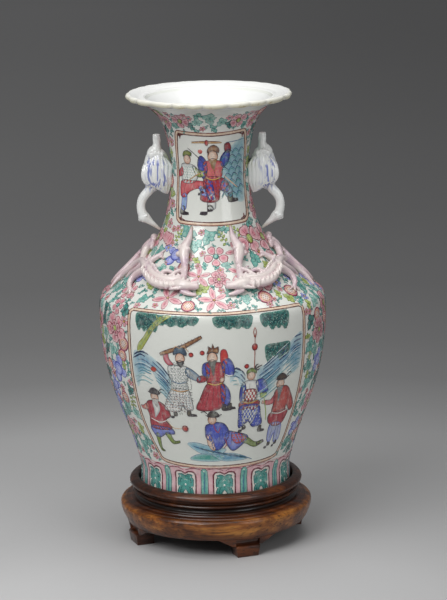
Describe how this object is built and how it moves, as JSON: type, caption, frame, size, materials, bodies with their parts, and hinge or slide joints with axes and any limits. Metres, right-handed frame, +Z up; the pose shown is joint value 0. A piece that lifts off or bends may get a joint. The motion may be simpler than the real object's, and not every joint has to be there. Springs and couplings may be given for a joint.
{
  "type": "baluster vase on stand",
  "caption": "Tall baluster vase with an everted lobed mouth and crane-shaped handles, lifting out of a round turned stand on bracket feet.",
  "frame": {"origin": "on the floor under the middle of the stand", "axes": "+Z up along the vase; the vase's front faces -Y; the crane handles lie along X"},
  "size_m": [0.1986, 0.1986, 0.398],
  "materials": {
    "enamelled_porcelain": "clear glaze with raised overglaze enamels",
    "white_glazed_porcelain": "clear glaze with blue brush strokes",
    "pink_enamelled_porcelain": "pale pink enamel",
    "dark_hardwood": "polished, golden where worn"
  },
  "bodies": {
    "stand": {"base_cushion": "dark_hardwood", "waist_ring": "dark_hardwood", "seat_board": "dark_hardwood", "gallery_ring": "dark_hardwood", "foot_dowels": "dark_hardwood", "stand_foot_1": "dark_hardwood", "stand_foot_2": "dark_hardwood", "stand_foot_3": "dark_hardwood", "stand_foot_4": "dark_hardwood"},
    "vase": {"belly": "enamelled_porcelain", "shoulder": "enamelled_porcelain", "neck": "enamelled_porcelain", "mouth_rim": "enamelled_porcelain", "crane_body_left": "white_glazed_porcelain", "crane_body_right": "white_glazed_porcelain", "crane_neck_left": "white_glazed_porcelain", "crane_neck_right": "white_glazed_porcelain", "dragon_front_left": "pink_enamelled_porcelain", "dragon_front_right": "pink_enamelled_porcelain", "dragon_back_left": "pink_enamelled_porcelain", "dragon_back_right": "pink_enamelled_porcelain"}
  },
  "joints": [
    {"name": "vase_lift", "type": "slide", "parent": "stand", "child": "vase", "axis": [0, 0, 1], "range_m": [0, 0.12]}
  ]
}
